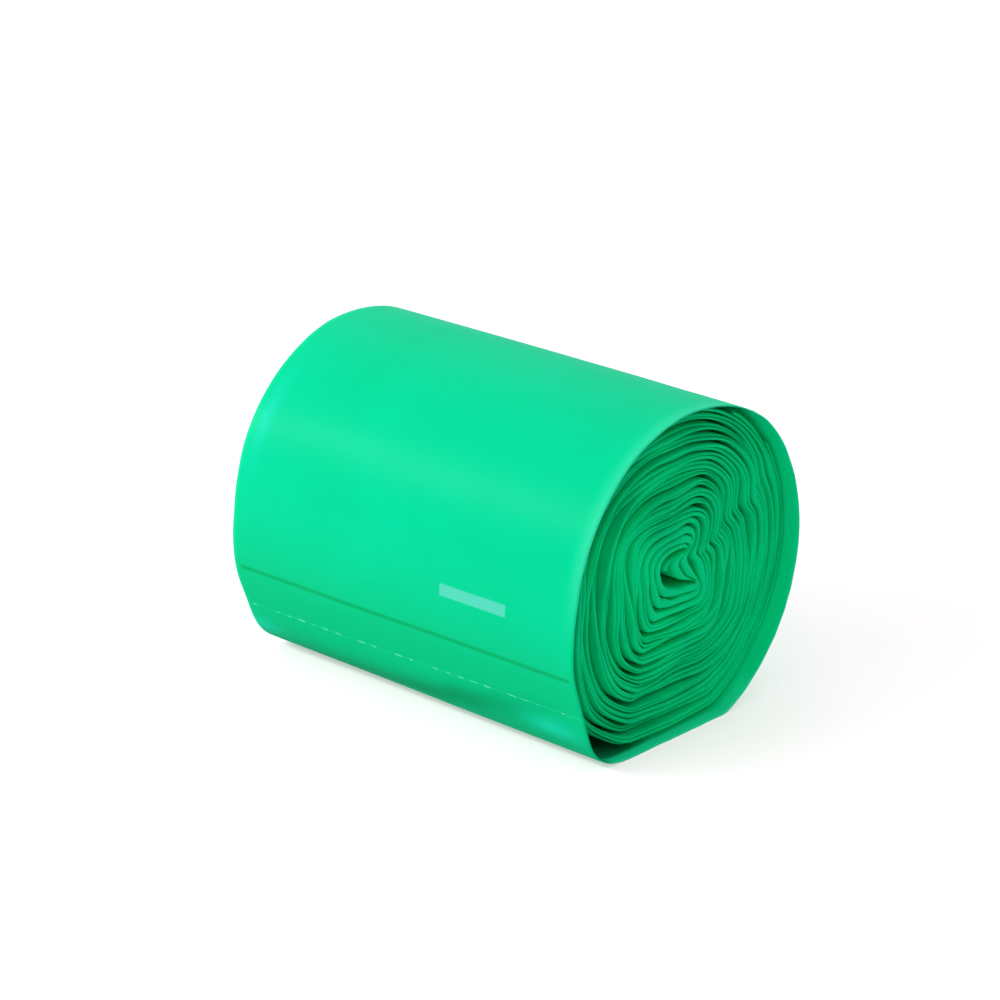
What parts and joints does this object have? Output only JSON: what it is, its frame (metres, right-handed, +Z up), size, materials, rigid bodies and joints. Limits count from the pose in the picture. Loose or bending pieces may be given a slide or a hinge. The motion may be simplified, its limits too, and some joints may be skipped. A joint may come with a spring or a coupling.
{
  "type": "bin bag roll",
  "caption": "Coreless roll of folded plastic film bags lying on its side, with a loose outer turn and a fold-collapsed middle.",
  "frame": {"origin": "on the ground, under the middle of the roll's box", "axes": "+X along the roll towards its open end, where the outer turn stands past the inner ones; +Z up; the slack foot of the outer turn is at -Y"},
  "size_m": [0.125, 0.0934, 0.0908],
  "materials": {
    "film": "thin polyethylene film, smooth with a soft satin gloss, slightly creased"
  },
  "bodies": {
    "root": {"bag_roll": "film"}
  },
  "joints": []
}
